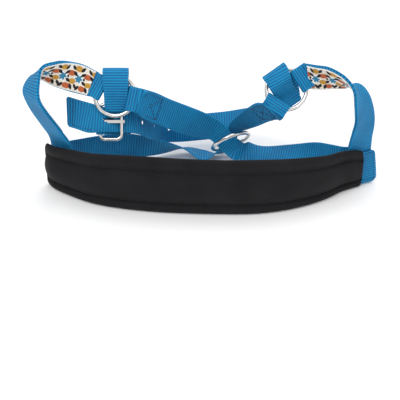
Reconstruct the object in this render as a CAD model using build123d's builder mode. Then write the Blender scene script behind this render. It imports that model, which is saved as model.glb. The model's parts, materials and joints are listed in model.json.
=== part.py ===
# Horse halter with a padded noseband, lying with its padded side outward.
# +Z up, +Y away from the padded front, millimetres.
import os
from math import cos, radians, sin

from build123d import *

os.makedirs("parts", exist_ok=True)

# ---- driving dimensions ----
ORIGIN = Vector(-2.5, -9.6, 0)
WEB_WIDTH = 25.4
PLY = 1.5
TWO_PLY = 3.0
OVERLAY_WIDTH = 21.0
OVERLAY_THICK = 0.6
SEWN_GAP = 0.15
PAD_THICK = 4.0
PAD_CROWN = 8.5
RING_RADIUS = 17.5
JAW_RADIUS = 17.8
WIRE = 3.6
EYE_ROOM = 2.4
SLEEVE_HALF_ANGLE = 25
PANEL_WIDTH = 18.0
THREAD = 0.7
BAR = 3.0
BUCKLE_HIGH = 30.8
BUCKLE_WIDE = 19.0
BUCKLE_UP = -22.5
HEEL_X = -14.0
BAR_FRONT = -8.0
THREAD_RISE = 0.4
HOLE_RADIUS = 1.9
TONGUE = 2.6
STEPS = 6

# ---- ring places and directions ----
RING_UP = Vector(0, 0.5, 0.866)
RING_FRONT = Vector(0, -0.866, 0.5)
RIGHT = Vector(1, 0, 0)
RING_L = Vector(-74, 8, 85)
RING_R = Vector(75, 8, 91)
JAW_AT = Vector(28.5, 42.6, 19.1)
JAW_ACROSS = Vector(0.93, 0.18, 0.31)
JAW_AXIS = Vector(-0.347, 0.67, 0.654)

# noseband: x, y of the back of the pad, its height, from the left end to the right
NOSE = [
    (-136, 2.5, 42),
    (-128, -7, 43.5),
    (-114, -18, 47),
    (-92, -31, 50.5),
    (-66, -39, 53.5),
    (-38, -44, 54.5),
    (-8, -46.5, 54),
    (22, -47.5, 53.5),
    (46, -47, 53.5),
    (70, -42.5, 51.5),
    (92, -34, 48),
    (110, -23.5, 44),
    (124, -12, 41),
    (136, -5.5, 38.5),
    (146, -3, 36.5),
]

# strap stations: centre, direction across the strap
CHEEK_L = [
    ((-122.4, -2.2, 10), (-0.74, 0.67, 0)),
    ((-122.4, -2.2, 30), (-0.74, 0.67, 0)),
    ((-123.2, -3, 46), (-0.72, 0.69, 0)),
    ((-130, -9.2, 63), (-0.66, 0.75, 0)),
    ((-138, -16.5, 84), (-0.6, 0.8, 0)),
    ((-142, -20, 101), (-0.55, 0.83, 0)),
    ((-140, -18, 110), (-0.47, 0.86, -0.2)),
    ((-134, -12, 114), (-0.35, 0.75, -0.55)),
    ((-126, -4, 112.5), (-0.2, 0.3, -0.92)),
    ((-116, 3, 108), (-0.12, -0.15, -0.97)),
    ((-105, 9, 102.5), (-0.2, -0.4, -0.88)),
    ((-91.2, 14.3, 95.8), (-0.57, -0.41, -0.71)),
]
CHEEK_R = [
    ((142, 1.6, 3.5), (0.94, 0.34, 0)),
    ((142, 1.6, 26), (0.93, 0.36, 0)),
    ((142.1, 1.4, 42), (0.92, 0.38, 0)),
    ((143, -1.5, 56), (0.8, 0.6, 0)),
    ((142.5, -5, 72), (0.68, 0.73, 0)),
    ((138, -8, 88), (0.62, 0.78, 0)),
    ((131, -9, 101), (0.56, 0.82, -0.1)),
    ((122, -5, 107), (0.42, 0.8, -0.42)),
    ((112, 1, 108), (0.28, 0.4, -0.87)),
    ((102, 7, 106), (0.3, 0.1, -0.94)),
    ((91.5, 14.9, 103), (0.64, -0.383, -0.663)),
]
THROAT_L = [
    ((-53, 5.8, 81.1), (0.21, 0.49, 0.847), 0.86),
    ((-42, 12.5, 71.5), (0.3, 0.52, 0.8)),
    ((-23, 22, 57), (0.36, 0.55, 0.75)),
    ((-5.5, 32.0, 44.3), (0.53, 0.34, 0.78)),
    ((13.6, 38.6, 32.7), (0.64, 0.08, 0.76), 0.82),
    ((24.3, 38.9, 20.8), (0.56, 0.28, 0.78), 0.68),
    ((34.1, 39.0, 11.8), (0.70, 0.63, 0.34), 0.70),
    ((42.9, 37.7, 10.5), (0.60, 0.80, 0.08), 0.85),
    ((57, 38.5, 7), (0.25, 0.95, 0.15)),
    ((80, 33, 9.5), (0.22, 0.9, 0.38)),
    ((102, 23, 15), (0.2, 0.6, 0.77)),
    ((118, 11.5, 20), (0.05, 0.2, 1)),
    ((129, 5.5, 22), (0, 0, 1)),
    ((140.5, 5.8, 23), (0, 0, 1)),
]
THROAT_R = [
    ((63.4, -4.2, 77.5), (-0.82, 0.287, 0.496), 0.86),
    ((56, 10, 66), (-0.8, 0.33, 0.5)),
    ((47.6, 27.2, 51.9), (-0.83, 0.19, 0.52)),
    ((37.7, 38.3, 39.6), (-0.75, -0.27, 0.60), 0.80),
    ((31.7, 47.8, 27.8), (-0.90, -0.37, 0.25), 0.55),
    ((27.2, 46.9, 15.4), (-0.73, -0.60, 0.34), 0.52),
    ((17.1, 43.2, 6.6), (-0.50, -0.77, 0.39), 0.62),
    ((3.2, 42.4, 4.25), (-0.10, -0.99, 0.09), 0.85),
    ((-14.3, 44.1, 10.2), (0.01, -0.89, 0.46)),
    ((-38.6, 42.1, 13.0), (0.14, -0.45, 0.88)),
    ((-70, 39, 16), (-0.05, 0.1, 1)),
    ((-98, 27, 20), (-0.02, 0, 1)),
    ((-117, 14.5, 23), (0, 0, 1)),
    ((-124.5, 6.5, 24), (0, 0, 1)),
    ((-120.5, 0.2, 24), (0, 0, 1)),
    ((-110, -8.8, 24), (0, 0, 1)),
]


def by_ring(centre, x, up, front):
    """A point given from a ring's centre, along its own directions."""
    place = centre + RIGHT * x + RING_UP * up + RING_FRONT * front
    return (place.X, place.Y, place.Z)


UPWARD = (0, 0.5, 0.866)
# the crown strap, from behind the right ring to its free tip left of the buckle
CROWN = [
    ((80, 12.1, 80.9), (0.82, 0.29, 0.5), 0.71),
    ((82, 16.5, 70), (0.82, 0.5, 0.28), 0.9),
    ((78, 25, 57), (0.5, 0.83, 0.25)),
    ((67, 41, 48), (0.1, 0.88, 0.46)),
    ((50, 55, 40), (-0.1, 0.78, 0.62)),
    ((29, 64, 31), (-0.08, 0.64, 0.76)),
    ((8, 68, 23), (0, 0.5, 0.866)),
    ((-14, 66, 20), (0, 0.48, 0.877)),
    ((-32, 56, 25), (0, 0.5, 0.866)),
    (by_ring(RING_L, 31, -25.5, -42), UPWARD),
    (by_ring(RING_L, 22.5, -24, -24), UPWARD),
    (by_ring(RING_L, 13.5, -22.8, -13), UPWARD),
    (by_ring(RING_L, 5.5, BUCKLE_UP, -11.2), UPWARD),
    (by_ring(RING_L, -0.5, BUCKLE_UP, -8.6), UPWARD),
    (by_ring(RING_L, -6, BUCKLE_UP, -6.2), UPWARD),
    (by_ring(RING_L, -10.5, BUCKLE_UP, -4.1), UPWARD),
    (by_ring(RING_L, -15.5, -22, -3.5), UPWARD),
    (by_ring(RING_L, -22, -20.3, -3.6), UPWARD),
    (by_ring(RING_L, -32, -17, -4), (-0.06, 0.5, 0.86)),
    (by_ring(RING_L, -42.5, -13.3, -5), (-0.12, 0.5, 0.86)),
]
# fine stations of the punched holes, and of the overlays on the cheek straps
CROWN_HOLES = [47, 53, 60]
CHEEK_OVERLAY = (16, -4)


def eased(a, b, c, d, u):
    """A smooth value between b and c."""
    slope = (c - a) * 0.5
    leave = (d - b) * 0.5
    rise = 2 * u**3 - 3 * u**2 + 1
    fall = 3 * u**2 - 2 * u**3
    return b * rise + slope * (u**3 - 2 * u**2 + u) + c * fall + leave * (u**3 - u**2)


def refined(stations):
    """The stations with smooth ones between them: centre, direction across, bunching."""
    rows = []
    for station in stations:
        bunched = station[2] if len(station) > 2 else 1.0
        rows.append((Vector(*station[0]), Vector(*station[1]).normalized(), bunched))
    rows = [rows[0]] + rows + [rows[-1]]
    fine = []
    for i in range(1, len(rows) - 2):
        for step in range(STEPS):
            u = step / STEPS
            fine.append(tuple(eased(*(rows[i + j][k] for j in (-1, 0, 1, 2)), u) for k in range(3)))
    fine.append(rows[-1])
    return fine


def section_plane(fine, i, offset):
    """Plane square across a strap: x along its width, y along its thickness."""
    along = (fine[min(i + 1, len(fine) - 1)][0] - fine[max(i - 1, 0)][0]).normalized()
    width = fine[i][1]
    width = (width - along * width.dot(along)).normalized()
    centre = ORIGIN + fine[i][0] + along.cross(width) * offset
    return Plane(origin=centre, x_dir=width, z_dir=along)


def ribbon(stations, width, thick, offset=0.0, across=(0.0,), first=0, last=None):
    """A flat strap lofted through its stations, or rows of thread on one."""
    fine = refined(stations)
    with BuildPart() as strap:
        for row in across:
            for i in range(len(fine))[first:last]:
                with BuildSketch(section_plane(fine, i, offset)):
                    with Locations((row * fine[i][2], 0)):
                        Rectangle(width * fine[i][2], thick)
            loft()
    return strap.part


def round_ring(centre, axis, across, radius):
    """A closed round ring of wire."""
    plane = Plane(origin=ORIGIN + centre, x_dir=across, z_dir=axis)
    with BuildPart() as ring:
        with BuildSketch(Plane(origin=plane.origin, x_dir=plane.x_dir, z_dir=-plane.y_dir)):
            with Locations((radius, 0)):
                Circle(WIRE / 2)
        revolve(axis=Axis(plane.origin, plane.z_dir))
    return ring.part


def sleeve(centre, angle):
    """The end of a strap folded round a ring's wire, with its short sewn lap."""
    ring = Plane(origin=ORIGIN + centre, x_dir=RIGHT, z_dir=RING_FRONT)
    start = radians(angle - SLEEVE_HALF_ANGLE)
    out = ring.x_dir * cos(start) + ring.y_dir * sin(start)
    with BuildPart() as fold:
        with BuildSketch(Plane(origin=ring.origin, x_dir=out, z_dir=out.cross(ring.z_dir))):
            with Locations((RING_RADIUS, 0)):
                Circle(EYE_ROOM + PLY)
            with Locations((RING_RADIUS + 4.4, 0)):
                Rectangle(5, TWO_PLY)
            with Locations((RING_RADIUS, 0)):
                Circle(EYE_ROOM, mode=Mode.SUBTRACT)
        revolve(axis=Axis(ring.origin, ring.z_dir), revolution_arc=2 * SLEEVE_HALF_ANGLE)
    return fold.part


def joined(*bodies):
    """One solid from overlapping pieces of the same strap."""
    with BuildPart() as whole:
        for body in bodies:
            add(body)
    return whole.part


def save(solid, name):
    solid.label = name
    export_step(solid, f"parts/{name}.step")


# ---- pad ----
BAND = [(c.X, c.Y, high) for c, across, high in refined([((x, y, 0), (0, 0, 1), h) for x, y, h in NOSE])]


def pad_plane(i):
    """Upright plane across the noseband: x outward to the padded front, y up."""
    before = Vector(*BAND[max(i - 1, 0)][:2], 0)
    after = Vector(*BAND[min(i + 1, len(BAND) - 1)][:2], 0)
    along = (after - before).normalized()
    out = along.cross(Vector(0, 0, 1))
    return Plane(origin=ORIGIN + Vector(*BAND[i][:2], 0), x_dir=out, z_dir=-along)


# rolled flange, sewn groove, crowned band, sewn groove, rolled flange
with BuildPart() as noseband_pad:
    for i in range(len(BAND)):
        high = BAND[i][2]
        groove = PAD_THICK - 1
        with BuildSketch(pad_plane(i)):
            with BuildLine():
                Line((0, 0), (PAD_THICK, 0))
                ThreePointArc((PAD_THICK, 0), (PAD_THICK + 1.6, 0.08 * high), (groove, 0.17 * high))
                ThreePointArc((groove, 0.17 * high), (PAD_CROWN, 0.46 * high), (groove, 0.76 * high))
                ThreePointArc((groove, 0.76 * high), (PAD_THICK + 1.4, 0.87 * high), (groove, high))
                Line((groove, high), (0, high))
                Line((0, high), (0, 0))
            make_face()
    loft()

# the sewn threads lie in the two grooves
GROOVE = PAD_THICK + 0.2
LOW_GROOVE = [((x, y, 0.17 * high), (0, 0, 1)) for x, y, high in NOSE]
HIGH_GROOVE = [((x, y, 0.76 * high), (0, 0, 1)) for x, y, high in NOSE]
pad_stitch_lower = ribbon(LOW_GROOVE, THREAD, THREAD, GROOVE)
pad_stitch_upper = ribbon(HIGH_GROOVE, THREAD, THREAD, GROOVE)

# ---- noseband ----
BAND_LINE = [((x, y, 4 + 0.46 * high), (0, 0, 1)) for x, y, high in NOSE]
BEHIND_PAD = -SEWN_GAP - PLY / 2
noseband_webbing = ribbon(BAND_LINE, WEB_WIDTH, PLY, BEHIND_PAD)
BEHIND_WEB = -2 * SEWN_GAP - PLY - OVERLAY_THICK / 2
noseband_overlay = ribbon(BAND_LINE, OVERLAY_WIDTH, OVERLAY_THICK, BEHIND_WEB)

# ---- cheek straps ----
cheek_strap_left = joined(ribbon(CHEEK_L, WEB_WIDTH, TWO_PLY), sleeve(RING_L, 145))
cheek_strap_right = joined(ribbon(CHEEK_R, WEB_WIDTH, TWO_PLY), sleeve(RING_R, 40))
ON_CHEEK = TWO_PLY / 2 + SEWN_GAP + OVERLAY_THICK / 2
cheek_overlay_left = ribbon(
    CHEEK_L, OVERLAY_WIDTH, OVERLAY_THICK, -ON_CHEEK, first=CHEEK_OVERLAY[0], last=CHEEK_OVERLAY[1]
)
cheek_overlay_right = ribbon(
    CHEEK_R, OVERLAY_WIDTH, OVERLAY_THICK, ON_CHEEK, first=CHEEK_OVERLAY[0], last=CHEEK_OVERLAY[1]
)
foot_ply_right = ribbon(CHEEK_R, WEB_WIDTH - 2, PLY, TWO_PLY / 2 + SEWN_GAP + PLY / 2, (3,), last=9)

# ---- throat straps ----
throat_strap_left = joined(ribbon(THROAT_L, WEB_WIDTH, PLY), sleeve(RING_L, -12))
throat_strap_right = joined(ribbon(THROAT_R, WEB_WIDTH, PLY), sleeve(RING_R, 237))

# ---- rings ----
ring_left = round_ring(RING_L, RING_FRONT, RIGHT, RING_RADIUS)
ring_right = round_ring(RING_R, RING_FRONT, RIGHT, RING_RADIUS)
jaw_ring = round_ring(JAW_AT, JAW_AXIS, JAW_ACROSS, JAW_RADIUS)


FOLD_HOLE = [(9.8, -2.4), (9.8, 2.4), (20.2, 2.4), (22, 1), (22, -1), (20.2, -2.4)]


def panel(centre, angle, shift, outline):
    """A strap end hung over a ring's wire, drawn from its side: x outward, y to the front."""
    out = RIGHT * cos(radians(angle)) + RING_UP * sin(radians(angle))
    side = out.cross(RING_FRONT)
    with BuildPart() as hung:
        with BuildSketch(Plane(origin=ORIGIN + centre + side * shift, x_dir=out, z_dir=side)):
            with BuildLine():
                Polyline(*outline, close=True)
            make_face()
            with BuildLine():
                Polyline(*FOLD_HOLE, close=True)
            make_face(mode=Mode.SUBTRACT)
        extrude(amount=PANEL_WIDTH / 2, both=True)
    return hung.part


# ---- buckle strap: over the left ring, through it, then folded left to the heel bar ----
BUCKLE_PANEL = [
    (23.6, 1.4),
    (21.2, 3.9),
    (9, 3.9),
    (-7, -13.5),
    (-34.5, -13.5),
    (-34.5, -16.5),
    (-6, -16.5),
    (9, -3.9),
    (21.2, -3.9),
    (23.6, -1.4),
]
HEEL_LOOP = [
    (-17.8, -9.4),
    (-16.4, -11.2),
    (-10, -12),
    (-6, -16.5),
    (12.4, -16.5),
    (12.4, -13.5),
    (-4, -13.5),
    (-10.8, -5.3),
    (-16.4, -4.7),
    (-17.8, -6.6),
]
HEEL = Plane(origin=ORIGIN + Vector(*by_ring(RING_L, 0, BUCKLE_UP, 0)), x_dir=RIGHT, z_dir=-RING_UP)
with BuildPart() as heel_loop:
    with BuildSketch(HEEL):
        with BuildLine():
            Polyline(*HEEL_LOOP, close=True)
        make_face()
        with Locations((HEEL_X, BAR_FRONT)):
            Circle(BAR / 2 + 0.4, mode=Mode.SUBTRACT)
    extrude(amount=11.5, both=True)
    # the tongue's slot in the fold
    with BuildSketch(HEEL):
        with Locations((HEEL_X, BAR_FRONT)):
            Rectangle(11, 10)
    extrude(amount=2.6, both=True, mode=Mode.SUBTRACT)
buckle_strap = joined(panel(RING_L, 90, 3.4, BUCKLE_PANEL), heel_loop.part)

# ---- buckle ----
FRAME = Plane(
    origin=ORIGIN + Vector(*by_ring(RING_L, HEEL_X + BUCKLE_WIDE / 2, BUCKLE_UP, BAR_FRONT)),
    x_dir=RIGHT,
    z_dir=RING_FRONT,
)
with BuildSketch(FRAME) as frame_line:
    RectangleRounded(BUCKLE_WIDE, BUCKLE_HIGH, 4.5)
bar_line = frame_line.sketch.face().outer_wire()
with BuildPart() as buckle_frame:
    with BuildSketch(Plane(origin=bar_line @ 0, z_dir=bar_line % 0)):
        Circle(BAR / 2)
    sweep(path=bar_line)

TONGUE_SIDE = [
    (0, -0.4),
    (9, 0.9),
    (17.4, 1.9),
    (21.4, 1.9),
    (22, 2.9),
    (17.6, 4.1),
    (8.6, 3.2),
    (0, 2.4),
]
TONGUE_AT = Plane(
    origin=ORIGIN + Vector(*by_ring(RING_L, HEEL_X, BUCKLE_UP, BAR_FRONT)),
    x_dir=RIGHT,
    z_dir=-RING_UP,
)
with BuildPart() as buckle_tongue:
    with BuildSketch(TONGUE_AT):
        Circle(BAR / 2 + 1.75)
        with BuildLine():
            Polyline(TONGUE_SIDE, close=True)
        make_face()
        Circle(BAR / 2 + 0.35, mode=Mode.SUBTRACT)
    extrude(amount=TONGUE / 2, both=True)

# ---- crown strap ----
CROWN_PANEL = [
    (23.6, 1.4),
    (21.2, 3.9),
    (7, 3.9),
    (-6, -8.0),
    (-13, -8.0),
    (-13, -11.0),
    (-4, -11.0),
    (8, -3.9),
    (21.2, -3.9),
    (23.6, -1.4),
]
CROWN_FINE = refined(CROWN)
with BuildPart() as crown_strap:
    add(ribbon(CROWN, WEB_WIDTH, PLY))
    add(panel(RING_R, 125, 0, CROWN_PANEL))
    # the tongue's hole, worn long
    with BuildSketch(HEEL):
        with Locations((-6.4, -6.3)):
            Rectangle(11.3, 12)
    extrude(amount=HOLE_RADIUS, both=True, mode=Mode.SUBTRACT)
    # the spare holes
    for i in CROWN_HOLES:
        across = section_plane(CROWN_FINE, i, 0)
        with BuildSketch(Plane(origin=across.origin, x_dir=across.x_dir, z_dir=across.y_dir)):
            Circle(HOLE_RADIUS)
        extrude(amount=3, both=True, mode=Mode.SUBTRACT)

# ---- threads of the sewn laps, in rows along the straps ----
ON_PLY = PLY / 2 + THREAD_RISE / 2 + 0.05
ON_OVERLAY = TWO_PLY / 2 + SEWN_GAP + OVERLAY_THICK + THREAD_RISE / 2 + 0.05
CHEEK_ROWS = {"across": (-9.2, 9.2), "first": CHEEK_OVERLAY[0] + 1, "last": CHEEK_OVERLAY[1] - 1}
stitch_throat_left = ribbon(THROAT_L, THREAD, THREAD_RISE, ON_PLY, (-9, 9), first=4, last=14)
stitch_throat_right = ribbon(THROAT_R, THREAD, THREAD_RISE, -ON_PLY, (-9, 9), first=4, last=12)
stitch_crown_tip = ribbon(CROWN, THREAD, THREAD_RISE, -ON_PLY, (-9, 9), first=-11, last=-2)
stitch_cheek_left = ribbon(CHEEK_L, THREAD, THREAD_RISE, -ON_OVERLAY, **CHEEK_ROWS)
stitch_cheek_right = ribbon(CHEEK_R, THREAD, THREAD_RISE, ON_OVERLAY, **CHEEK_ROWS)

# ---- files ----
save(noseband_pad.part, "noseband_pad")
save(pad_stitch_upper, "pad_stitch_upper")
save(pad_stitch_lower, "pad_stitch_lower")
save(noseband_webbing, "noseband_webbing")
save(noseband_overlay, "noseband_overlay")
save(cheek_strap_left, "cheek_strap_left")
save(cheek_strap_right, "cheek_strap_right")
save(cheek_overlay_left, "cheek_overlay_left")
save(cheek_overlay_right, "cheek_overlay_right")
save(foot_ply_right, "foot_ply_right")
save(throat_strap_left, "throat_strap_left")
save(throat_strap_right, "throat_strap_right")
save(crown_strap.part, "crown_strap")
save(buckle_strap, "buckle_strap")
save(buckle_frame.part, "buckle_frame")
save(buckle_tongue.part, "buckle_tongue")
save(ring_left, "ring_left")
save(ring_right, "ring_right")
save(jaw_ring, "jaw_ring")
save(stitch_throat_left, "stitch_throat_left")
save(stitch_throat_right, "stitch_throat_right")
save(stitch_crown_tip, "stitch_crown_tip")
save(stitch_cheek_left, "stitch_cheek_left")
save(stitch_cheek_right, "stitch_cheek_right")
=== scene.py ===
"""A nylon horse halter with a padded noseband, lying inside out with its straps folded up."""

import json
import math
import random

import bmesh
import bpy
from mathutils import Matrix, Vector

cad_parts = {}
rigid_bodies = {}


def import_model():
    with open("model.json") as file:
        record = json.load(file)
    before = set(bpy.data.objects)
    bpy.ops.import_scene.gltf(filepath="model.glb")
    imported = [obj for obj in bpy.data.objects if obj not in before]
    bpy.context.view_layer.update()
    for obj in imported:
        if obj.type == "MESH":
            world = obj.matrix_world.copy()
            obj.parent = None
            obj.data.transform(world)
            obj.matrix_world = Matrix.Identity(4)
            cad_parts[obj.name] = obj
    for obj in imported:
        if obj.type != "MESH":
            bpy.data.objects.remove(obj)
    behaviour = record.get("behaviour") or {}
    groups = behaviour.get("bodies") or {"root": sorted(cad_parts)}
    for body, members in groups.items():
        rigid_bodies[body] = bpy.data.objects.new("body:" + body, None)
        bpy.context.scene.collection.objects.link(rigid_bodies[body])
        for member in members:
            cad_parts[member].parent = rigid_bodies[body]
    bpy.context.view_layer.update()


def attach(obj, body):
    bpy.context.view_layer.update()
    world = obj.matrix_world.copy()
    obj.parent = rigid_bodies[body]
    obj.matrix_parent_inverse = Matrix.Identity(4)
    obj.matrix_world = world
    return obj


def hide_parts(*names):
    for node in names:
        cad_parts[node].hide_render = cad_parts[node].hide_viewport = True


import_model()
random.seed(7)

# ---- sizes, in millimetres ----
ORIGIN = Vector((-2.5, -9.6, 0))
WEB = 25.4
RIBBON = 23.6
RIB = 2.3
REPEAT = 16.0
HOLE_RADIUS = 1.9
FOLDED = 0.9
RING_UP = Vector((0, 0.5, 0.8660254))
RING_FRONT = Vector((0, -0.8660254, 0.5))
RIGHT = Vector((1, 0, 0))
RING_L = Vector((-74, 8, 85))
RING_R = Vector((75, 8, 91))

NOSE = [
    (-136, 2.5, 42),
    (-128, -7, 43.5),
    (-114, -18, 47),
    (-92, -31, 50.5),
    (-66, -39, 53.5),
    (-38, -44, 54.5),
    (-8, -46.5, 54),
    (22, -47.5, 53.5),
    (46, -47, 53.5),
    (70, -42.5, 51.5),
    (92, -34, 48),
    (110, -23.5, 44),
    (124, -12, 41),
    (136, -5.5, 38.5),
    (146, -3, 36.5),
]
CHEEK_L = [
    ((-122.4, -2.2, 10), (-0.74, 0.67, 0)),
    ((-122.4, -2.2, 30), (-0.76, 0.65, 0)),
    ((-123.2, -3, 46), (-0.77, 0.64, 0)),
    ((-129.5, -8.6, 63), (-0.77, 0.64, 0)),
    ((-138, -16, 84), (-0.72, 0.69, 0)),
    ((-142.5, -18.5, 98.5), (-0.62, 0.78, -0.05)),
    ((-141, -15, 109), (-0.5, 0.82, -0.27)),
    ((-136, -8.5, 116.3), (-0.37, 0.67, -0.64)),
    ((-126, -3, 113.6), (-0.24, 0.35, -0.9)),
    ((-116, 3, 107.5), (-0.14, -0.08, -0.98)),
    ((-105, 9, 101), (-0.2, -0.36, -0.9)),
]
CHEEK_R = [
    ((144, -0.6, 0.9), (0.93, 0.37, 0)),
    ((142, 1.6, 26), (0.87, 0.49, 0)),
    ((142, 1.4, 42), (0.84, 0.54, 0)),
    ((143, -1.5, 56), (0.8, 0.6, 0)),
    ((142.5, -5, 72), (0.66, 0.74, -0.05)),
    ((138.5, -8, 88), (0.57, 0.76, -0.27)),
    ((131.5, -8.5, 100), (0.48, 0.7, -0.52)),
    ((122, -5, 105), (0.36, 0.5, -0.79)),
    ((112, 1, 105.5), (0.28, 0.3, -0.91)),
    ((102, 7, 103), (0.3, 0.1, -0.94)),
]
THROAT_L = [
    ((-42, 12.5, 71.5), (0.3, 0.52, 0.8)),
    ((-23, 22, 57), (0.36, 0.55, 0.75)),
    ((-5.5, 32.0, 44.3), (0.53, 0.34, 0.78)),
    ((13.6, 38.6, 32.7), (0.64, 0.08, 0.76), 0.82),
    ((24.3, 38.9, 20.8), (0.56, 0.28, 0.78), 0.68),
    ((34.1, 39.0, 11.8), (0.70, 0.63, 0.34), 0.80),
    ((42.9, 37.7, 10.5), (0.60, 0.80, 0.08)),
    ((57, 38.5, 7), (0.25, 0.95, 0.15)),
    ((80, 33, 9.5), (0.22, 0.9, 0.38)),
    ((102, 23, 15), (0.2, 0.6, 0.77)),
    ((118, 11.5, 20), (0.05, 0.2, 1)),
    ((129, 5.5, 22), (0, 0, 1)),
    ((140.5, 5.8, 23), (0, 0, 1)),
]
THROAT_R = [
    ((55, 10, 68.5), (-0.58, -0.05, 0.81), 0.78),
    ((46.5, 27.2, 53.2), (-0.5, -0.28, 0.82), 0.76),
    ((37.7, 38.3, 39.6), (-0.75, -0.27, 0.60), 0.80),
    ((31.7, 47.8, 27.8), (-0.90, -0.37, 0.25), 0.55),
    ((27.2, 46.9, 15.4), (-0.73, -0.60, 0.34), 0.52),
    ((17.1, 43.2, 6.6), (-0.50, -0.77, 0.39), 0.62),
    ((3.2, 42.4, 4.25), (-0.10, -0.99, 0.09), 0.85),
    ((-14.3, 44.1, 10.2), (0.01, -0.89, 0.46)),
    ((-38.6, 42.1, 13.0), (0.14, -0.45, 0.88)),
    ((-70, 39, 16), (-0.05, 0.1, 1)),
    ((-98, 27, 20), (-0.02, 0, 1)),
    ((-117, 14.5, 23), (0, 0, 1)),
    ((-124.5, 6.5, 24), (0, 0, 1)),
    ((-120.5, 0.2, 24), (0, 0, 1)),
    ((-110, -8.8, 24), (0, 0, 1)),
]


def by_ring(centre, x, up, front):
    return centre + RIGHT * x + RING_UP * up + RING_FRONT * front


UPWARD = (0, 0.5, 0.866)
CROWN = [
    ((80, 17, 71), (0.72, 0.55, 0.42), 0.8),
    ((74, 27, 61), (0.35, 0.85, 0.4), 0.8),
    ((63, 41, 50), (0.1, 0.95, 0.3), 0.85),
    ((48, 55, 37), (-0.05, 0.93, 0.36), 0.92),
    ((29, 65, 27), (-0.05, 0.88, 0.47)),
    ((8, 67, 21.5), (0, 0.7, 0.71)),
    ((-14, 66, 20), (0, 0.48, 0.877)),
    ((-32, 56, 25), (0, 0.5, 0.866)),
    (by_ring(RING_L, 31, -25.5, -42), UPWARD),
    (by_ring(RING_L, 22.5, -23, -24), UPWARD, 0.92),
    (by_ring(RING_L, 13.5, -21.4, -13), UPWARD, 0.88),
    (by_ring(RING_L, 5.5, -21.1, -11.2), UPWARD, 0.86),
    (by_ring(RING_L, -0.5, -21, -8.6), UPWARD, 0.86),
    (by_ring(RING_L, -6, -21, -6.2), UPWARD, 0.86),
    (by_ring(RING_L, -10.5, -20.8, -4.1), UPWARD, 0.88),
    (by_ring(RING_L, -15.5, -20.4, -3.5), UPWARD, 0.92),
    (by_ring(RING_L, -22, -19.6, -3.6), (-0.03, 0.5, 0.86)),
    (by_ring(RING_L, -32, -16.6, -4), (-0.1, 0.5, 0.86)),
    (by_ring(RING_L, -42.5, -13.4, -5), (-0.2, 0.5, 0.86)),
]


# ---- paths ----
def eased(a, b, c, d, u):
    return (
        b * (2 * u**3 - 3 * u * u + 1)
        + (c - a) * 0.5 * (u**3 - 2 * u * u + u)
        + c * (3 * u * u - 2 * u**3)
        + (d - b) * 0.5 * (u**3 - u * u)
    )


def stations(rows):
    """Rows of centre, across-direction and bunching."""
    return [(Vector(r[0]), Vector(r[1]).normalized(), r[2] if len(r) > 2 else 1.0) for r in rows]


def refined(rows, steps=20):
    rows = [rows[0]] + rows + [rows[-1]]
    fine = []
    for i in range(1, len(rows) - 2):
        for k in range(steps):
            near = [rows[i + j] for j in (-1, 0, 1, 2)]
            fine.append(tuple(eased(*(r[c] for r in near), k / steps) for c in range(3)))
    fine.append(rows[-1])
    return fine


class Strip:
    """A strap's middle line, cut to even steps, with its across and face directions."""

    def __init__(self, fine, step=0.46, turned=1):
        length = [0.0]
        for a, b in zip(fine, fine[1:]):
            length.append(length[-1] + (b[0] - a[0]).length)
        self.length = length[-1]
        count = max(2, round(self.length / step))
        self.step = self.length / count
        centres, acrosses, bunches = [], [], []
        k = 0
        for n in range(count + 1):
            s = self.length * n / count
            while k < len(length) - 2 and length[k + 1] < s:
                k += 1
            u = (s - length[k]) / max(1e-9, length[k + 1] - length[k])
            centres.append(fine[k][0].lerp(fine[k + 1][0], u))
            acrosses.append(fine[k][1].lerp(fine[k + 1][1], u))
            bunches.append(fine[k][2] * (1 - u) + fine[k + 1][2] * u)
        self.rows = []
        for n in range(count + 1):
            along = (centres[min(count, n + 1)] - centres[max(0, n - 1)]).normalized()
            across = acrosses[n] - along * acrosses[n].dot(along)
            across.normalize()
            face = along.cross(across) * turned
            self.rows.append((centres[n], across, face, bunches[n]))

    def at(self, s, v=0.0, lift=0.0):
        """The point s along and v across, lifted off the middle line, and its face direction."""
        n = min(len(self.rows) - 1, max(0, s / self.step))
        k = min(len(self.rows) - 2, int(n))
        u = n - k
        a, b = self.rows[k], self.rows[k + 1]
        centre, across, face = (a[c].lerp(b[c], u) for c in range(3))
        bunch = a[3] * (1 - u) + b[3] * u
        return centre + across * v * bunch + face * lift, face


def ring_rows(centre, angle, path, width=1.0, shift=0.0, like=None):
    """Stations along a path of (outward, front) points in the plane that cuts a ring's wire."""
    out = RIGHT * math.cos(math.radians(angle)) + RING_UP * math.sin(math.radians(angle))
    side = out.cross(RING_FRONT)
    if like is not None and side.dot(Vector(like)) < 0:
        side, shift = -side, -shift
    return [(centre + out * x + RING_FRONT * y + side * shift, side, width) for x, y in path]


def arc(x, y, r, start, end, count=9):
    """Points on a circle in a ring_rows path."""
    turns = [math.radians(start + (end - start) * k / (count - 1)) for k in range(count)]
    return [(x + r * math.cos(t), y + r * math.sin(t)) for t in turns]


# ---- mesh building ----
def add_object(name, verts, faces, material, uvs=None, body="halter", smooth=True):
    mesh = bpy.data.meshes.new(name)
    mesh.from_pydata([(v + ORIGIN) * 0.001 for v in verts], [], faces)
    if uvs:
        layer = mesh.uv_layers.new(name="UVMap")
        for loop in mesh.loops:
            layer.data[loop.index].uv = uvs[loop.vertex_index]
    for poly in mesh.polygons:
        poly.use_smooth = smooth
    mesh.materials.append(material)
    obj = bpy.data.objects.new(name, mesh)
    bpy.context.scene.collection.objects.link(obj)
    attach(obj, body)
    return obj


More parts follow.
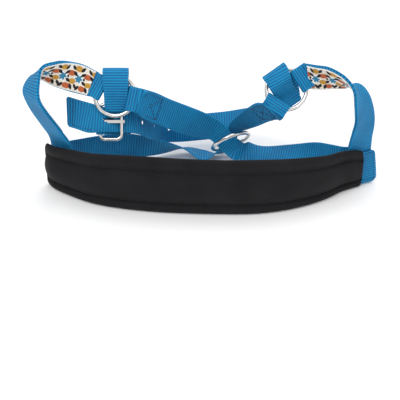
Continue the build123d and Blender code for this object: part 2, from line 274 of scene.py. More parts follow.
def section(columns):
    """A strap's cross-section, two faces and two round edges, as (across, side, edge) points."""
    top = [(2 * k / columns - 1, 1.0) for k in range(columns + 1)]
    bottom = [(x, -y) for x, y in reversed(top)]
    points = [(x, y, 0.0) for x, y in top]
    points += [(1.0, 0.75, 0.6), (1.0, 0.0, 1.0), (1.0, -0.75, 0.6)]
    points += [(x, y, 0.0) for x, y in bottom]
    points += [(-1.0, -0.75, 0.6), (-1.0, 0.0, 1.0), (-1.0, 0.75, 0.6)]
    return points


def band(
    name, strip, width, thick, material, offset=0.0, shift=0.0, ribs=0.13, corner=0.0,
    start=0.0, end=None, body="halter", columns=12, pitch=RIB
):
    """A ribbed strap along a strip, with woven edges and rounded ends."""
    end = strip.length if end is None else end
    first, last = round(start / strip.step), round(end / strip.step)
    rows = strip.rows[first : last + 1]
    points = section(columns)
    verts, uvs, faces = [], [], []
    edge = thick * 0.42
    for n, (centre, across, face, bunch) in enumerate(rows):
        s = (first + n) * strip.step
        wave = math.cos(2 * math.pi * s / pitch)
        half = width * bunch / 2 - edge + 0.1 * wave * (ribs > 0)
        half += 0.14 * math.sin(s * 0.21 + width) * (ribs > 0)
        if corner:
            near = min(n, len(rows) - 1 - n) * strip.step
            if near < corner:
                half -= corner - math.sqrt(corner**2 - (corner - near) ** 2)
        curl = 0.16 * math.sin(s * 0.085 + offset) * (ribs > 0)
        for x, y, out in points:
            wide = x * half + (edge * out if x > 0 else -edge * out)
            high = y * (thick / 2 + ribs * 0.5 * (wave - 1) * (1 - out))
            high += curl * (x * x - 0.4)
            verts.append(centre + across * (wide + shift * bunch) + face * (offset + high))
            uvs.append((s * 0.001, wide * 0.001 / bunch))
    size = len(points)
    for n in range(len(rows) - 1):
        for k in range(size):
            a, b = n * size + k, n * size + (k + 1) % size
            faces.append((a, b, b + size, a + size))
    faces.append(tuple(reversed(range(size))))
    faces.append(tuple(range((len(rows) - 1) * size, len(rows) * size)))
    obj = add_object(name, verts, faces, material, uvs, body)
    recalculated(obj)
    return obj


def recalculated(obj):
    """Turns every face outward."""
    work = bmesh.new()
    work.from_mesh(obj.data)
    bmesh.ops.recalc_face_normals(work, faces=work.faces)
    work.to_mesh(obj.data)
    work.free()


def stitches(name, runs, material, length=2.7, gap=0.8, radius=0.34, body="halter"):
    """Rows of single stitches: each run is a list of (point, face direction)."""
    verts, faces = [], []
    around, steps = 6, 6
    for run in runs:
        spent, wait = 0.0, 0.0
        marks = []
        for (a, na), (b, nb) in zip(run, run[1:]):
            span = (b - a).length
            while wait <= spent + span:
                u = (wait - spent) / max(span, 1e-9)
                marks.append((a.lerp(b, u), na.lerp(nb, u)))
                wait += (length + gap) / 2
            spent += span
        for k in range(0, len(marks) - 1, 2):
            (p, n0), (q, n1) = marks[k], marks[k + 1]
            along = (q - p).normalized()
            q = p + along * length
            up = (n0 + n1).normalized()
            side = along.cross(up).normalized()
            sway = random.uniform(-0.12, 0.12)
            base = len(verts)
            for i in range(steps + 1):
                t = i / steps
                arch = math.sin(math.pi * t)
                middle = p.lerp(q, t) + up * (radius * (1.25 * arch - 0.85)) + side * sway
                r = radius * (0.55 + 0.45 * arch)
                for j in range(around):
                    turn = 2 * math.pi * j / around
                    verts.append(middle + up * r * math.sin(turn) + side * r * math.cos(turn))
            for i in range(steps):
                for j in range(around):
                    a, b = base + i * around + j, base + i * around + (j + 1) % around
                    faces.append((a, b, b + around, a + around))
            faces.append(tuple(reversed(range(base, base + around))))
            faces.append(tuple(range(base + steps * around, base + (steps + 1) * around)))
    obj = add_object(name, verts, faces, material, body=body)
    recalculated(obj)
    return obj


def run_on(strip, corners, lift):
    """A sewing line over a strip through (along, across) corners."""
    run = []
    for (s0, v0), (s1, v1) in zip(corners, corners[1:]):
        count = max(2, round(math.hypot(s1 - s0, v1 - v0) / 0.7))
        for k in range(count + 1):
            u = k / count
            run.append(strip.at(s0 + (s1 - s0) * u, v0 + (v1 - v0) * u, lift))
    return [(p, f * (1 if lift > 0 else -1)) for p, f in run]


def box_x(strip, s0, s1, half, lift):
    """The runs of a sewn box with its cross."""
    around = [(s0, -half), (s1, -half), (s1, half), (s0, half), (s0, -half)]
    return [
        run_on(strip, around, lift),
        run_on(strip, [(s0, -half), (s1, half)], lift),
        run_on(strip, [(s0, half), (s1, -half)], lift),
    ]


# ---- materials ----
class Shade:
    """A small helper that wires one node-based material."""

    def __init__(self, name):
        self.material = bpy.data.materials.new(name)
        self.material.use_nodes = True
        self.tree = self.material.node_tree
        self.surface = self.tree.nodes["Principled BSDF"]

    def node(self, kind, **values):
        made = self.tree.nodes.new(kind)
        for key, value in values.items():
            setattr(made, key, value)
        return made

    def join(self, source, target):
        if hasattr(source, "links") or hasattr(source, "is_output"):
            self.tree.links.new(source, target)
        else:
            target.default_value = source

    def math(self, what, a, b=0.0, c=0.0, clamp=False):
        made = self.node("ShaderNodeMath", operation=what, use_clamp=clamp)
        for value, target in zip((a, b, c), made.inputs):
            self.join(value, target)
        return made.outputs[0]

    def uv(self):
        split = self.node("ShaderNodeSeparateXYZ")
        self.join(self.node("ShaderNodeUVMap", uv_map="UVMap").outputs[0], split.inputs[0])
        return split.outputs[0], split.outputs[1]

    def noise(self, scale, detail=3.0, stretch=None):
        place = self.node("ShaderNodeTexCoord").outputs["Object"]
        if stretch:
            mapping = self.node("ShaderNodeMapping")
            mapping.inputs["Scale"].default_value = stretch
            self.join(place, mapping.inputs["Vector"])
            place = mapping.outputs[0]
        made = self.node("ShaderNodeTexNoise")
        self.join(place, made.inputs["Vector"])
        made.inputs["Scale"].default_value = scale
        made.inputs["Detail"].default_value = detail
        return made.outputs[0]

    def mix(self, amount, first, second):
        made = self.node("ShaderNodeMix", data_type="RGBA")
        self.join(amount, made.inputs["Factor"])
        for value, target in ((first, made.inputs[6]), (second, made.inputs[7])):
            self.join((*value, 1.0) if isinstance(value, tuple) else value, target)
        return made.outputs[2]

    def ramp(self, value, low, high, to_low=0.0, to_high=1.0):
        made = self.node("ShaderNodeMapRange", clamp=True)
        for number, target in zip((value, low, high, to_low, to_high), made.inputs):
            self.join(number, target)
        return made.outputs[0]

    def bump(self, height, strength, distance):
        made = self.node("ShaderNodeBump")
        made.inputs["Strength"].default_value = strength
        made.inputs["Distance"].default_value = distance
        self.join(height, made.inputs["Height"])
        self.join(made.outputs[0], self.surface.inputs["Normal"])

    def set(self, **values):
        for key, value in values.items():
            self.surface.inputs[key.replace("_", " ")].default_value = value


def webbing(name, dark, light):
    """Ribbed nylon webbing: crosswise ribs with painted shade in the grooves between them, a
    slanting yarn in each rib, fuzz and colour drift.
    """
    s = Shade(name)
    u, v = s.uv()
    rib = s.math("COSINE", s.math("MULTIPLY", u, 2000 * math.pi / RIB))
    slant = s.math("ADD", s.math("MULTIPLY", v, 6500.0), s.math("MULTIPLY", u, 2300.0))
    yarn = s.math("SINE", slant)
    fuzz = s.noise(1400, 2.0)
    drift = s.noise(38, 3.0)
    edge = s.ramp(s.math("ABSOLUTE", v), 0.0108, 0.0122)
    height = s.math("ADD", s.math("MULTIPLY", rib, 0.5), s.math("MULTIPLY", yarn, 0.25))
    height = s.math("ADD", height, s.math("MULTIPLY", fuzz, 0.5))
    # painted shade: the colour follows the rib wave and goes darker in the grooves between the
    # ribs
    tone = s.ramp(rib, -1.0, 0.4, 0.0, 0.62)
    tone = s.math("ADD", tone, s.math("MULTIPLY", yarn, 0.1))
    tone = s.math("ADD", tone, s.ramp(drift, 0.3, 0.7, -0.12, 0.2))
    tone = s.math("ADD", tone, s.ramp(fuzz, 0.3, 0.7, -0.1, 0.16))
    tone = s.math("ADD", tone, s.math("MULTIPLY", edge, 0.12), clamp=True)
    colour = s.mix(tone, dark, light)
    s.join(colour, s.surface.inputs["Base Color"])
    s.join(s.ramp(fuzz, 0.2, 0.8, 0.5, 0.72), s.surface.inputs["Roughness"])
    s.set(Sheen_Weight=0.04, Sheen_Roughness=0.45, Specular_IOR_Level=0.22)
    s.surface.inputs["Sheen Tint"].default_value = (0.5, 0.75, 1.0, 1.0)
    s.bump(height, 0.45, 0.00025)
    return s.material


def mosaic(name):
    """Woven ribbon with a repeating mosaic of pebbles, seeds and stars on cream, white selvage."""
    s = Shade(name)
    u, v = s.uv()
    cell = s.math("SUBTRACT", s.math("FRACT", s.math("DIVIDE", u, REPEAT / 1000)), 0.5)
    cell = s.math("MULTIPLY", cell, REPEAT)
    across = s.math("MULTIPLY", v, 1000.0)

    def wrapped(x):
        moved = s.math("ADD", s.math("DIVIDE", s.math("SUBTRACT", cell, x), REPEAT), 0.5)
        return s.math("MULTIPLY", s.math("SUBTRACT", s.math("FRACT", moved), 0.5), REPEAT)

    def spot(x, y, long, short, turn, power=2.0):
        dx, dy = wrapped(x), s.math("SUBTRACT", across, y)
        c, n = math.cos(math.radians(turn)), math.sin(math.radians(turn))
        a = s.math("ADD", s.math("MULTIPLY", dx, c / long), s.math("MULTIPLY", dy, n / long))
        b = s.math("ADD", s.math("MULTIPLY", dx, -n / short), s.math("MULTIPLY", dy, c / short))
        a = s.math("POWER", s.math("ABSOLUTE", a), power)
        b = s.math("POWER", s.math("ABSOLUTE", b), power)
        return s.ramp(s.math("ADD", a, b), 0.86, 1.12, 1.0, 0.0)

    def all_of(spots):
        total = spots[0]
        for other in spots[1:]:
            total = s.math("MAXIMUM", total, other)
        return total

    def star(x, y, size):
        dx, dy = wrapped(x), s.math("SUBTRACT", across, y)
        squares = s.math("ADD", s.math("MULTIPLY", dx, dx), s.math("MULTIPLY", dy, dy))
        reach = s.math("SQRT", squares)
        turn = s.math("COSINE", s.math("MULTIPLY", s.math("ARCTAN2", dy, dx), 6.0))
        rim = s.math("MULTIPLY", s.math("ADD", s.math("MULTIPLY", turn, 0.2), 0.85), size)
        return s.ramp(s.math("SUBTRACT", reach, rim), -0.15, 0.2, 1.0, 0.0)

    red = all_of([spot(-6.6, 8.0, 3.5, 2.5, 8, 2.4), spot(-4.6, -3.6, 3.5, 2.5, 5, 2.4)])
    gold = all_of([spot(-2.2, 3.3, 3.4, 2.4, -6, 2.4), spot(1.4, -8.2, 3.5, 2.5, 8, 2.4)])
    seeds = all_of(
        [
            spot(-2.6, 8.2, 2.9, 1.5, 58, 1.5),
            spot(4.2, 8.3, 2.8, 1.5, -55, 1.5),
            spot(-6.6, 3.0, 2.7, 1.4, 30, 1.5),
            spot(1.6, 7.3, 2.6, 1.35, 50, 1.5),
            spot(-0.6, -3.6, 2.9, 1.5, 40, 1.5),
            spot(7.0, -4.0, 2.8, 1.4, -40, 1.5),
            spot(-3.4, -8.6, 2.8, 1.4, 42, 1.5),
            spot(5.6, -8.3, 2.8, 1.5, -60, 1.5),
            spot(-7.3, -0.4, 1.6, 1.0, 70, 1.5),
        ]
    )
    teal = star(3.6, 0.4, 3.7)
    petal = star(3.6, 0.4, 5.0)
    fuzz = s.noise(900, 3.0)
    drift = s.noise(55, 3.0)
    ground = s.mix(s.ramp(drift, 0.35, 0.65), (0.86, 0.83, 0.77), (0.72, 0.65, 0.54))
    colour = s.mix(petal, ground, (0.84, 0.83, 0.80))
    colour = s.mix(teal, colour, (0.03, 0.21, 0.36))
    rust = s.mix(s.ramp(fuzz, 0.35, 0.65), (0.38, 0.065, 0.02), (0.56, 0.15, 0.05))
    colour = s.mix(red, colour, rust)
    ochre = s.mix(s.ramp(fuzz, 0.35, 0.65), (0.44, 0.2, 0.02), (0.6, 0.34, 0.06))
    colour = s.mix(gold, colour, ochre)
    colour = s.mix(seeds, colour, (0.008, 0.008, 0.012))
    selvage = s.ramp(s.math("ABSOLUTE", across), 10.7, 11.0)
    colour = s.mix(selvage, colour, (0.85, 0.85, 0.84))
    warp = s.math("SINE", s.math("MULTIPLY", v, 2 * math.pi / 0.0005))
    weft = s.math("SINE", s.math("MULTIPLY", u, 2 * math.pi / 0.0006))
    weave = s.math("MULTIPLY", warp, weft)
    s.join(colour, s.surface.inputs["Base Color"])
    s.join(s.ramp(fuzz, 0.2, 0.8, 0.42, 0.62), s.surface.inputs["Roughness"])
    s.set(Sheen_Weight=0.04, Sheen_Roughness=0.4, Specular_IOR_Level=0.25)
    s.bump(s.math("ADD", weave, s.math("MULTIPLY", fuzz, 0.8)), 0.3, 0.0001)
    return s.material


def foam(name):
    """Black foam sheet with a fine knit skin."""
    s = Shade(name)
    knit = s.node("ShaderNodeTexVoronoi")
    s.join(s.node("ShaderNodeTexCoord").outputs["Object"], knit.inputs["Vector"])
    knit.inputs["Scale"].default_value = 1500.0
    drift = s.noise(45, 4.0)
    fuzz = s.noise(1100, 2.0)
    tone = s.math("ADD", s.ramp(drift, 0.3, 0.7, 0.0, 0.55), s.ramp(fuzz, 0.3, 0.7, 0.0, 0.45))
    colour = s.mix(tone, (0.004, 0.004, 0.005), (0.0115, 0.0112, 0.013))
    s.join(colour, s.surface.inputs["Base Color"])
    s.join(s.ramp(fuzz, 0.2, 0.8, 0.62, 0.85), s.surface.inputs["Roughness"])
    s.set(Sheen_Weight=0.02, Sheen_Roughness=0.5, Specular_IOR_Level=0.16)
    height = s.math("ADD", knit.outputs["Distance"], s.math("MULTIPLY", drift, 1.5))
    s.bump(height, 0.25, 0.0003)
    return s.material


def nickel(name):
    """Bright nickel plate, a little rubbed and smudged."""
    s = Shade(name)
    smudge = s.noise(160, 4.0)
    scratch = s.noise(900, 2.0, (1.0, 1.0, 0.12))
    colour = s.mix(s.ramp(smudge, 0.35, 0.7), (0.80, 0.79, 0.77), (0.62, 0.60, 0.57))
    s.join(colour, s.surface.inputs["Base Color"])
    s.join(s.ramp(smudge, 0.3, 0.75, 0.1, 0.3), s.surface.inputs["Roughness"])
    s.set(Metallic=1.0)
    s.bump(s.math("ADD", scratch, smudge), 0.12, 0.00008)
    return s.material


def thread(name, dark, light):
    s = Shade(name)
    twist = s.noise(2600, 2.0)
    s.join(s.mix(s.ramp(twist, 0.3, 0.7), dark, light), s.surface.inputs["Base Color"])
    s.join(s.ramp(twist, 0.3, 0.7, 0.45, 0.65), s.surface.inputs["Roughness"])
    s.set(Sheen_Weight=0.1, Specular_IOR_Level=0.4)
    s.bump(twist, 0.3, 0.0001)
    return s.material


BLUE = webbing("webbing_blue", (0.0015, 0.075, 0.21), (0.005, 0.28, 0.56))
PATTERN = mosaic("overlay_ribbon")
FOAM = foam("pad_foam")
NICKEL = nickel("nickel")
BLUE_THREAD = thread("thread_blue", (0.002, 0.03, 0.1), (0.006, 0.09, 0.24))
BLACK_THREAD = thread("thread_black", (0.006, 0.006, 0.007), (0.02, 0.02, 0.022))
WHITE_THREAD = thread("thread_white", (0.5, 0.49, 0.46), (0.8, 0.79, 0.76))

# ---- noseband: webbing and ribbon behind the pad ----
BACK = Strip(refined(stations([((x, y, 4 + 0.46 * h), (0, 0, 1)) for x, y, h in NOSE])))
nose_web = band("noseband_web", BACK, WEB, 1.3, BLUE, offset=-0.9)
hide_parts("noseband_webbing")
nose_ribbon = band("noseband_ribbon", BACK, RIBBON, 0.5, PATTERN, offset=-1.95, ribs=0, columns=8)
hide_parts("noseband_overlay")
stitches(
        "noseband_stitches",
        [run_on(BACK, [(3, v), (BACK.length - 3, v)], -2.3) for v in (-11.2, 11.2)],
        WHITE_THREAD,
    )


# ---- pad ----
LOWER_GROOVE, UPPER_GROOVE = 0.17, 0.76
PAD_STEP = 2.2


def pad_profile(high, thick):
    """Half-open outline of the pad's section: (out, height, free to swell), bottom to top."""
    bottom, top = LOWER_GROOVE * high, UPPER_GROOVE * high
    points = [(0.3, 0.3, 0), (0.0, 1.4, 0), (0.0, 0.25 * high, 0), (0.0, 0.5 * high, 0)]
    points += [(0.0, 0.75 * high, 0), (0.0, high - 1.4, 0), (0.3, high - 0.3, 0), (1.4, high, 0)]
    points += [(2.9, high - 0.1, 0)]
    for k in range(1, 8):
        t = k / 8
        z = high + (top + 0.5 - high) * t
        points.append(((3.1 + 2.2 * math.sin(math.pi * t) ** 0.7), z, 1))
    points += [(2.75, top + 0.35, 0), (2.1, top, 0), (2.75, top - 0.4, 0)]
    for k in range(1, 18):
        t = k / 18
        z = top - 0.5 + (bottom + 1.0 - top) * t
        points.append((3.0 + 4.9 * math.sin(math.pi * t) ** 0.62, z, 1))
    points += [(2.75, bottom + 0.4, 0), (2.1, bottom, 0), (2.75, bottom - 0.35, 0)]
    for k in range(1, 8):
        t = k / 8
        z = bottom - 0.5 + (0.6 - bottom) * t
        points.append((3.1 + 2.5 * math.sin(math.pi * t) ** 0.7, z, 1))
    points += [(3.4, 0.2, 0), (1.6, 0.0, 0)]
    return [(a * thick, b, free) for a, b, free in points]


def make_pad():
    fine = refined([(Vector((x, y, 0)), Vector((h, 0, 0)), 1.0) for x, y, h in NOSE])
    line = []
    spent, wanted = 0.0, 0.0
    for a, b in zip(fine, fine[1:]):
        span = (b[0] - a[0]).length
        while wanted <= spent + span:
            u = (wanted - spent) / span
            line.append((a[0].lerp(b[0], u), a[1].x * (1 - u) + b[1].x * u))
            wanted += PAD_STEP
        spent += span
    verts, faces, weights = [], [], []
    count = len(line)
    for n, (centre, high) in enumerate(line):
        along = (line[min(count - 1, n + 1)][0] - line[max(0, n - 1)][0]).normalized()
        out = along.cross(Vector((0, 0, 1)))
        near = min(n, count - 1 - n) * PAD_STEP
        thick = 0.5 + 0.5 * min(1.0, near / 13) ** 0.6
        inset = max(0.0, 1 - near / 4.4) ** 2
        for a, z, free in pad_profile(high, thick):
            z += inset * 1.6 * (1 if z < high / 2 else -1)
            verts.append(centre + out * a + Vector((0, 0, z)))
            weights.append(0.0 if free and near > 4 else 1.0)
    size = len(verts) // count
    for n in range(count - 1):
        for k in range(size):
            a, b = n * size + k, n * size + (k + 1) % size
            faces.append((a, b, b + size, a + size))
    faces.append(tuple(reversed(range(size))))
    faces.append(tuple(range((count - 1) * size, count * size)))
    pad = add_object("noseband_pad_cover", verts, faces, FOAM)
    recalculated(pad)
    return pad, weights


def swollen(pad, weights, cap=0.0021):
    """Presses the foam outward between its sewn lines by cloth pressure, then keeps the result."""
    rest = [v.co.copy() for v in pad.data.vertices]
    group = pad.vertex_groups.new(name="pinned")
    for k, weight in enumerate(weights):
        if weight:
            group.add([k], weight, "REPLACE")
    cloth = pad.modifiers.new("swell", "CLOTH")
    cloth.settings.vertex_group_mass = "pinned"
    cloth.settings.use_pressure = True
    cloth.settings.uniform_pressure_force = 4.0
    cloth.settings.effector_weights.gravity = 0.0
    cloth.settings.tension_stiffness = 12.0
    cloth.settings.compression_stiffness = 12.0
    cloth.settings.bending_stiffness = 0.4
    cloth.settings.quality = 5
    scene = bpy.context.scene
    for number in range(1, 21):
        scene.frame_set(number)
    settled = pad.evaluated_get(bpy.context.evaluated_depsgraph_get()).data
    found = [v.co.copy() for v in settled.vertices]
    pad.modifiers.remove(cloth)
    scene.frame_set(1)
    for vertex, before, after in zip(pad.data.vertices, rest, found):
        move = after - before
        if move.length > cap:
            move *= cap / move.length
        vertex.co = before + move
    pad.vertex_groups.remove(group)


pad, pad_weights = make_pad()
swollen(pad, pad_weights)
pad.modifiers.new("fine", "SUBSURF").levels = 1
pad.modifiers["fine"].render_levels = 1
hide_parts("noseband_pad")


def groove_run(share, out):
    """The sewn line along the pad at a share of its height."""
    fine = refined([(Vector((x, y, 0)), Vector((h, 0, 0)), 1.0) for x, y, h in NOSE])
    run = []
    for a, b in zip(fine[3:-4], fine[4:-3]):
        face = (b[0] - a[0]).normalized().cross(Vector((0, 0, 1)))
        run.append((a[0] + face * out + Vector((0, 0, share * a[1].x)), face))
    return run


for piece, share in (("upper", UPPER_GROOVE), ("lower", LOWER_GROOVE)):
    sewn = stitches("pad_stitches_" + piece, [groove_run(share, 2.5)], BLACK_THREAD, radius=0.4)
    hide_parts("pad_stitch_" + piece)


# ---- cheek straps: two plies and a ribbon, the inner ply folded round the ring ----
def ring_fold(reach, gap, radius, neck, tail):
    """Path of a strap end round a ring's wire: in on the front, back out behind."""
    path = [(tail, gap), (neck, gap * 1.1), (neck - 3.5, gap + (radius - gap) * 0.6)]
    path += [(neck - 7, radius)] + arc(reach + radius, 0, radius, 90, 270, 11)
    path += [(neck - 7, -radius), (neck - 3.5, -gap - (radius - gap) * 0.6)]
    return path + [(neck, -gap * 1.1)]


def cheek(side, rows, ring, angle, turned, overlay_ends):
    end = ring_rows(ring, angle, [(20.5, 0)], FOLDED, like=rows[-1][1])
    outer = Strip(refined(stations(rows) + end), turned=turned)
    length = outer.length
    for ply, lift in (("outer", -0.78), ("inner", 0.78)):
        piece = band(f"cheek_{side}_{ply}", outer, WEB, 1.35, BLUE, offset=lift)
    ribbon = band(
        f"cheek_{side}_ribbon", outer, RIBBON + 0.2, 0.5, PATTERN, offset=1.85, ribs=0, columns=8,
        start=overlay_ends[0], end=length - overlay_ends[1],
    )
    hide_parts(f"cheek_overlay_{side}")
    fold = ring_fold(10.9, 2.1, 2.95, 22, 25.5)
    tip = refined(ring_rows(ring, angle, fold, 0.84, like=rows[-1][1]))
    loop = band(f"cheek_{side}_fold", Strip(tip), WEB, 1.35, BLUE)
    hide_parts(f"cheek_strap_{side}")
    first, last = overlay_ends[0] + 2, length - overlay_ends[1] - 1
    runs = [run_on(outer, [(first, v), (last, v)], 2.2) for v in (-11.2, 11.2)]
    sewn = stitches(f"cheek_{side}_stitches", runs, WHITE_THREAD, radius=0.26)
    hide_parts(f"stitch_cheek_{side}")
    return outer


cheek("left", CHEEK_L, RING_L, 152, -1, (52, 3))
RIGHT_CHEEK = cheek("right", CHEEK_R, RING_R, 34, 1, (48, 3))
foot = band("foot_ply", RIGHT_CHEEK, WEB - 2, 1.3, BLUE, offset=-2.4, shift=4.6, end=31, corner=5)
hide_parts("foot_ply_right")
stitches(
        "foot_stitches",
        [run_on(RIGHT_CHEEK, [(28.5, -5), (28.5, 13.4), (3, 13.4), (3, -5)], -3.15)],
        BLUE_THREAD,
        radius=0.28,
    )


# ---- throat straps ----
def throat(side, rows, ring, angle, width, lap_front, face):
    """Strap folded round its ring: lap end, fold, then the whole run of the strap."""
    like = rows[0][1]
    front = 1 if lap_front else -1
    start = ring_rows(ring, angle, [(21, 0)], FOLDED, like=like)
    strap = Strip(refined(start + stations(rows)))
    path = [(22.5, -0.3 * front), (20, -1.6 * front), (18.2, -2.7 * front), (16.5, -2.95 * front)]
    path += [(x, -y * front) for x, y in arc(13.8, 0, 2.95, 90, 270, 11)]
    path += [(16.5, 2.95 * front), (18.2, 2.8 * front), (20, 2.3 * front), (22.5, 1.7 * front)]
    fold = ring_rows(ring, angle, path, width, like=like)
    lap_sign = 1 if strap.rows[0][2].dot(RING_FRONT) * front > 0 else -1
    lap = []
    for s in (2, 7, 13, 19, 25):
        row = strap.rows[round(s / strap.step)]
        lap.append((row[0] + row[2] * 1.55 * lap_sign, row[1], row[3]))
    whole = [tuple(r) for r in reversed(lap)] + list(reversed(fold)) + stations(rows)
    run = Strip(refined(whole, 12))
    piece = band(f"throat_{side}", run, WEB, 1.35, BLUE)
    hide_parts(f"throat_strap_{side}")
    lift = (2.35 if lap_sign == face else 0.8) * face
    sewn = stitches(
        f"throat_{side}_stitches", box_x(strap, 3.5, 24, 9.6, lift), BLUE_THREAD, radius=0.42
    )
    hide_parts(f"stitch_throat_{side}")
    return strap


throat("left", THROAT_L, RING_L, -12, 0.86, False, 1)
throat("right", THROAT_R, RING_R, 237, 0.86, True, -1)

# ---- crown strap: over the right ring, behind, through the buckle to its free tip ----
over = [(-15, -9.4), (-6, -8.6), (0, -3.6), (6.5, 3.0), (11, 4.2), (15.6, 4.2)]
over += arc(16, 0, 4.2, 70, -70, 7) + [(15.6, -4.2), (8, -5.2), (-2, -10.0)]
crown_rows = []
for k, spot in enumerate(over):
    sunk = min(1.0, max(0.0, 1 - spot[0] / 17)) if k < 6 else 0.0
    width = FOLDED - 0.14 * sunk
    crown_rows += ring_rows(RING_R, 125, [spot], width, shift=-2.2 * sunk, like=CROWN[0][1])
crown_rows += stations(CROWN)
crown_path = Strip(refined(crown_rows, 14))
crown = band("crown_web", crown_path, WEB, 1.4, BLUE, corner=2.5)
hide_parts("crown_strap")


def punched(piece, strip, marks, radius, long=0.0):
    """Cuts round or long holes through a strap at distances from its end."""
    cutters = []
    for s, stretch in marks:
        point, face = strip.at(s)
        n = min(len(strip.rows) - 2, round(s / strip.step))
        along = (strip.rows[n + 1][0] - strip.rows[n][0]).normalized()
        across = strip.rows[n][1]
        verts, faces = [], []
        for side in (-3, 3):
            for k in range(20):
                t = 2 * math.pi * k / 20
                push = stretch / 2 * (1 if math.cos(t) > 0 else -1)
                around = along * (radius * math.cos(t) + push) + across * radius * math.sin(t)
                verts.append(point + around + face * side)
        for k in range(20):
            faces.append((k, (k + 1) % 20, 20 + (k + 1) % 20, 20 + k))
        faces += [tuple(reversed(range(20))), tuple(range(20, 40))]
        mesh = bpy.data.meshes.new("cutter")
        mesh.from_pydata([(v + ORIGIN) * 0.001 for v in verts], [], faces)
        cutter = bpy.data.objects.new("cutter", mesh)
        bpy.context.scene.collection.objects.link(cutter)
        recalculated(cutter)
        cutters.append(cutter)
        cut = piece.modifiers.new("hole", "BOOLEAN")
        cut.operation = "DIFFERENCE"
        cut.solver = "EXACT"
        cut.object = cutter
    done = piece.evaluated_get(bpy.context.evaluated_depsgraph_get())
    mesh = bpy.data.meshes.new_from_object(done)
    piece.modifiers.clear()
    piece.data = mesh
    for cutter in cutters:
        bpy.data.objects.remove(cutter)


def nearest(strip, point):
    spots = [(row[0] - point).length for row in strip.rows]
    return spots.index(min(spots)) * strip.step


SPARE_HOLES = [(-51.5, 16.8, 52.2), (-41.4, 35.3, 39.3), (-29.4, 58.6, 23.4)]
tongue_at = nearest(crown_path, by_ring(RING_L, -6, -22.5, -6.2))
punched(
    crown,
    crown_path,
    [(tongue_at, 7.0)] + [(nearest(crown_path, Vector(spot)), 0.0) for spot in SPARE_HOLES],
    HOLE_RADIUS,
)
tail = crown_path.length
tip_ply = band(
    "crown_tip_ply", crown_path, WEB - 0.4, 1.3, BLUE, offset=1.45, start=tail - 26, corner=2
)
tip_runs = [
    run_on(crown_path, [(tail - 3, -9.8), (tail - 3, 9.8)], -0.8),
    run_on(crown_path, [(tail - 24, -9.8), (tail - 3, -9.8)], -0.8),
    run_on(crown_path, [(tail - 6, -9.8), (tail - 6, 9.8)], -0.8),
]
tip_sewn = stitches("crown_tip_stitches", tip_runs, BLUE_THREAD, radius=0.3)
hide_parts("stitch_crown_tip")


def slanted(pieces, strip, amount, reach=25.0):
    """Skews a strap's end so its upper corner sits further out than its lower one."""
    last, across = strip.rows[-1][0], strip.rows[-1][1]
    along = (last - strip.rows[-2][0]).normalized()
    for piece in pieces:
        for vertex in piece.data.vertices:
            place = vertex.co * 1000 - ORIGIN - last
            share = min(1.0, max(0.0, 1 + place.dot(along) / reach))
            push = amount * share * place.dot(across) / 12.7
            vertex.co += along * (push * 0.001)


slanted([crown, tip_ply, tip_sewn], crown_path, 4.3)

# ---- buckle strap: over the left ring, and round the buckle's heel bar ----
hung = [(-33, -15.4), (-8, -15.2), (-1, -10.2), (7, -5.2), (14, -5.0), (18.3, -5.0)]
hung += arc(18.6, 0, 5.0, -70, 70, 7)
hung += [(18.3, 5.0), (10, 4.2), (0, 1.6), (-8, -1.4), (-14.5, -3.6)]
panel_rows = ring_rows(RING_L, 90, hung[:-3], 0.88, shift=0.8, like=RIGHT)
panel_rows += ring_rows(RING_L, 90, hung[-3:], 0.8, shift=0.8, like=RIGHT)
panel = band("buckle_strap_web", Strip(refined(panel_rows, 14)), WEB, 1.35, BLUE)
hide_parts("buckle_strap")


def heel_rows(path, v, share):
    rows = []
    for x, front in path:
        rows.append((by_ring(RING_L, x, -22.5 + v, front), RING_UP.copy(), share))
    return rows


bar = arc(-14, -8, 2.65, -90, -270, 11)
near_side = [(-9.5, -11.6)] + bar + [(-10.2, -6.4)]
for name, v in (("upper", 7.1), ("lower", -7.1)):
    wrap = Strip(refined(heel_rows(near_side, v, 1.0), 10))
    half = band("heel_fold_" + name, wrap, 8.8, 1.3, BLUE, columns=6)
for name, path in (
    ("back", [(12.5, -18.3), (-3, -18.2), (-6.5, -15.4), (-9.6, -11.5)]),
    ("front", [(-10.1, -6.5), (-7.5, -10.2), (-5, -14.5), (-1, -16.8), (12.5, -16.8)]),
):
    ply = band("heel_ply_" + name, Strip(refined(heel_rows(path, 0, 0.9), 14)), WEB, 1.3, BLUE)

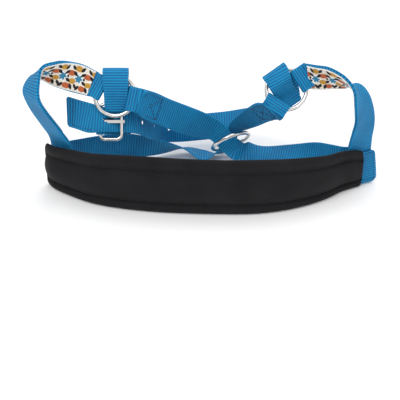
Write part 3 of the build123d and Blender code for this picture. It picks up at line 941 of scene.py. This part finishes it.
# ---- metal: the CAD's rings and buckle, plated ----
for name in ("ring_left", "ring_right", "jaw_ring", "buckle_frame", "buckle_tongue"):
    for obj in bpy.data.objects:
        if obj.name == name and obj.type == "MESH":
            for place in obj.material_slots:
                place.material = NICKEL

# ---- floor, light and camera ----
floor_mesh = bpy.data.meshes.new("floor")
floor_mesh.from_pydata([(-6, -6, 0), (6, -6, 0), (6, 6, 0), (-6, 6, 0)], [], [(0, 1, 2, 3)])
floor = bpy.data.objects.new("floor", floor_mesh)
floor.location.z = -0.0004
bpy.context.scene.collection.objects.link(floor)
paper = Shade("floor_paper")
paper.join(
    paper.mix(paper.ramp(paper.noise(6, 2.0), 0.3, 0.7), (0.93, 0.93, 0.93), (0.95, 0.95, 0.95)),
    paper.surface.inputs["Base Color"],
)
paper.set(Roughness=0.9, Specular_IOR_Level=0.1)
floor_mesh.materials.append(paper.material)

world = bpy.data.worlds.new("studio")
bpy.context.scene.world = world
world.use_nodes = True
world.node_tree.nodes["Background"].inputs[0].default_value = (1.0, 1.0, 1.0, 1.0)
world.node_tree.nodes["Background"].inputs[1].default_value = 0.78


def lamp(name, place, aim, power, size):
    data = bpy.data.lights.new(name, "AREA")
    data.energy = power
    data.size = size
    obj = bpy.data.objects.new(name, data)
    obj.location = place
    obj.rotation_euler = (Vector(aim) - Vector(place)).to_track_quat("-Z", "Y").to_euler()
    bpy.context.scene.collection.objects.link(obj)


lamp("key", (-0.5, -0.7, 1.2), (0, 0, 0.04), 7, 0.7)
lamp("fill", (0.9, -0.5, 0.7), (0, 0, 0.05), 2.5, 0.8)
lamp("top", (0.1, 0.5, 1.1), (0, 0, 0.04), 4.5, 0.8)

camera_data = bpy.data.cameras.new("camera")
camera_data.lens = 101.7
camera_data.sensor_width = 36
camera = bpy.data.objects.new("camera", camera_data)
camera.location = (Vector((0, -866, 545)) + ORIGIN) * 0.001
camera.rotation_euler = (math.radians(56.96), 0, 0)
bpy.context.scene.collection.objects.link(camera)
bpy.context.scene.camera = camera
bpy.context.scene.view_settings.view_transform = "Standard"
